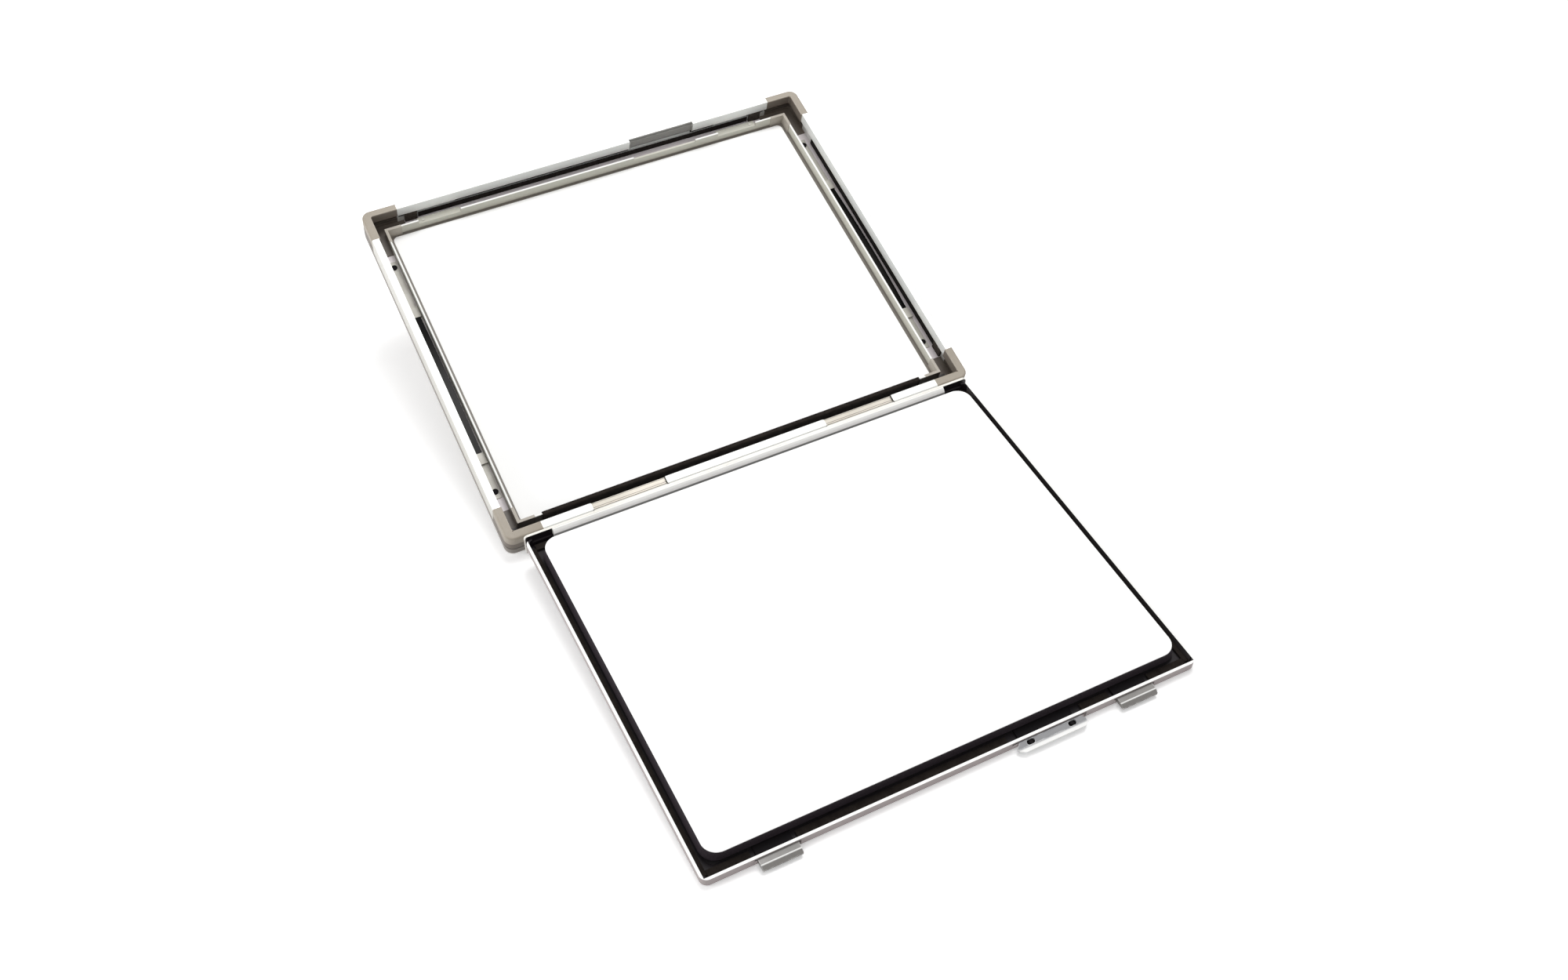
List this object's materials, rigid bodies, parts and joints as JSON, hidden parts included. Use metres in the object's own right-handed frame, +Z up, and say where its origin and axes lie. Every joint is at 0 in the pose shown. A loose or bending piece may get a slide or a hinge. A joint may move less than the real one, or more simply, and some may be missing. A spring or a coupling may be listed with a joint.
{
  "type": "x-ray film cassette",
  "caption": "Flat hinged cassette for sheet x-ray film, standing open: metal frame and film well, hinged back with padded screen, spring bolts and finger tab.",
  "frame": {"origin": "middle of the plan, at table level", "axes": "+X along the hinge to the right, +Y from the open back to the frame, +Z up from the table"},
  "size_m": [0.282, 0.4558, 0.0869],
  "materials": {
    "corner_plastic": "moulded, warm grey",
    "aluminium_profile": "fine satin, brushed along its length",
    "rim_plastic": "satin off-white",
    "screen": "smooth matt white coating",
    "painted_panel": "sheet with light grey paint",
    "steel_fasteners": "plain steel",
    "spring_steel": "glossy black spring steel",
    "spring_seat": "plain aluminium strip",
    "black_felt": "black felt with light lint",
    "foam": "closed-cell foam, purple grey",
    "channel_plastic": "pinkish grey strip",
    "dark_plastic": "dark grey moulding",
    "lead": "dull lead foil",
    "steel_plate": "cold-rolled sheet",
    "black_steel": "blackened steel",
    "bolt_plastic": "satin grey, worn on its ridge"
  },
  "bodies": {
    "back": {"back_pan": "painted_panel", "hinge_leaf": "aluminium_profile", "hinge_rivets": "steel_fasteners", "lead_foil": "lead", "plate_posts": "dark_plastic", "pressure_plate": "steel_plate", "foam_pad": "foam", "back_screen": "screen", "border_seal": "black_felt", "guide_pins": "steel_fasteners"},
    "frame": {"channel_liners": "channel_plastic", "corner_hinge_left": "corner_plastic", "corner_hinge_right": "corner_plastic", "corner_latch_left": "corner_plastic", "corner_latch_right": "corner_plastic", "front_panel": "painted_panel", "front_screen": "screen", "groove_plugs": "foam", "hinge_light_seal": "black_felt", "hinge_pin": "steel_fasteners", "kick_spring_left": "spring_steel", "kick_spring_right": "spring_steel", "notch_insert": "dark_plastic", "rail_felts": "black_felt", "rail_hinge_side": "aluminium_profile", "rail_latch_side": "aluminium_profile", "rail_left": "aluminium_profile", "rail_right": "aluminium_profile", "rim_corners": "rim_plastic", "rim_hinge_side": "rim_plastic", "rim_latch_side": "rim_plastic", "rim_left": "rim_plastic", "rim_right": "rim_plastic", "spring_carrier_left": "spring_seat", "spring_carrier_right": "spring_seat", "spring_clips": "spring_seat", "spring_rivets": "steel_fasteners", "strike_rivets": "steel_fasteners"},
    "latch": {"latch_bar": "black_steel", "bolt_left": "bolt_plastic", "bolt_right": "bolt_plastic", "latch_tab": "aluminium_profile", "tab_studs": "black_steel"}
  },
  "joints": [
    {"name": "main_hinge", "type": "hinge", "parent": "back", "child": "frame", "pos_m": [0, 0.00404, 0.01303], "axis": [1, 0, 0], "range_deg": [0, 165.7]},
    {"name": "latch_slide", "type": "slide", "parent": "back", "child": "latch", "axis": [0, 0.9978, 0.0661], "range_m": [0, 0.0058], "stiffness_N_per_m": 400, "springref_m": -0.006}
  ]
}
